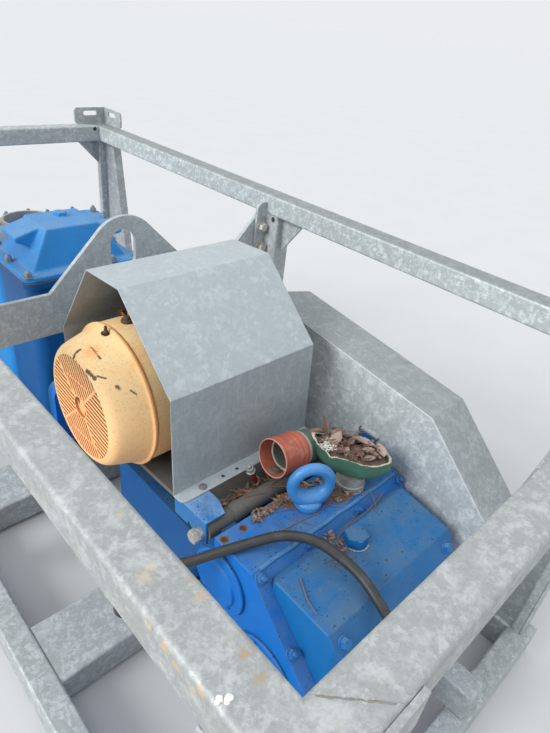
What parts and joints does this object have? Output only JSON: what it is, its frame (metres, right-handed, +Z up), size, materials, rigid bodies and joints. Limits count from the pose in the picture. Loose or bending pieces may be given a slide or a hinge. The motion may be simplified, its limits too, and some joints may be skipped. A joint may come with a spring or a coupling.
{
  "type": "belt-driven piston pump set in a lifting frame",
  "caption": "Electric motor under a bent sheet hood drives a horizontal piston pump through a guarded belt, inside a galvanised stacking frame with a lifting plate.",
  "frame": {"origin": "centre of the frame's footprint, on the floor", "axes": "+X across, from the fan cowl towards the belt guard; +Y along, from the crankcase towards the valve chests; +Z up"},
  "size_m": [1.08, 2.246, 1.026],
  "materials": {
    "galvanised": "matt spangled zinc",
    "blue": "worn gloss",
    "amber": "faded",
    "cast_iron": "rough",
    "steel": "satin",
    "red": "faded",
    "green": "chalky",
    "rubber": "matt"
  },
  "bodies": {
    "root": {"base_rail_left": "galvanised", "base_rail_right": "galvanised", "base_end_front": "galvanised", "base_end_rear": "galvanised", "cross_beam_front": "galvanised", "cross_beam_rear": "galvanised", "pump_bearer_left": "galvanised", "pump_bearer_right": "galvanised", "top_rail_left": "galvanised", "top_rail_right": "galvanised", "top_rail_front": "galvanised", "top_rail_rear": "galvanised", "corner_post_rear_right": "galvanised", "corner_post_rear_left": "galvanised", "corner_post_front_right": "galvanised", "corner_post_front_left": "galvanised", "mid_post_right": "galvanised", "mid_post_left": "galvanised", "stacking_bracket_rear_right": "galvanised", "stacking_bracket_rear_left": "galvanised", "lifting_plate": "galvanised", "rain_hood": "galvanised", "belt_guard": "galvanised", "guard_clip": "galvanised", "fan_cowl": "amber", "motor_body": "cast_iron", "motor_plate": "blue", "hinge_tube": "cast_iron", "hinge_arm_left": "blue", "hinge_arm_right": "blue", "crankcase": "blue", "crankcase_cover": "blue", "bearing_cover": "blue", "crank_cover": "blue", "lifting_eye": "blue", "pump_bed": "blue", "cylinder": "blue", "valve_chest": "blue", "valve_chest_lid": "blue", "rear_chest": "blue", "pipe_neck": "steel", "filler_neck": "steel", "filler_bowl": "green", "inlet_sleeve": "red", "power_cable": "rubber"}
  },
  "joints": []
}
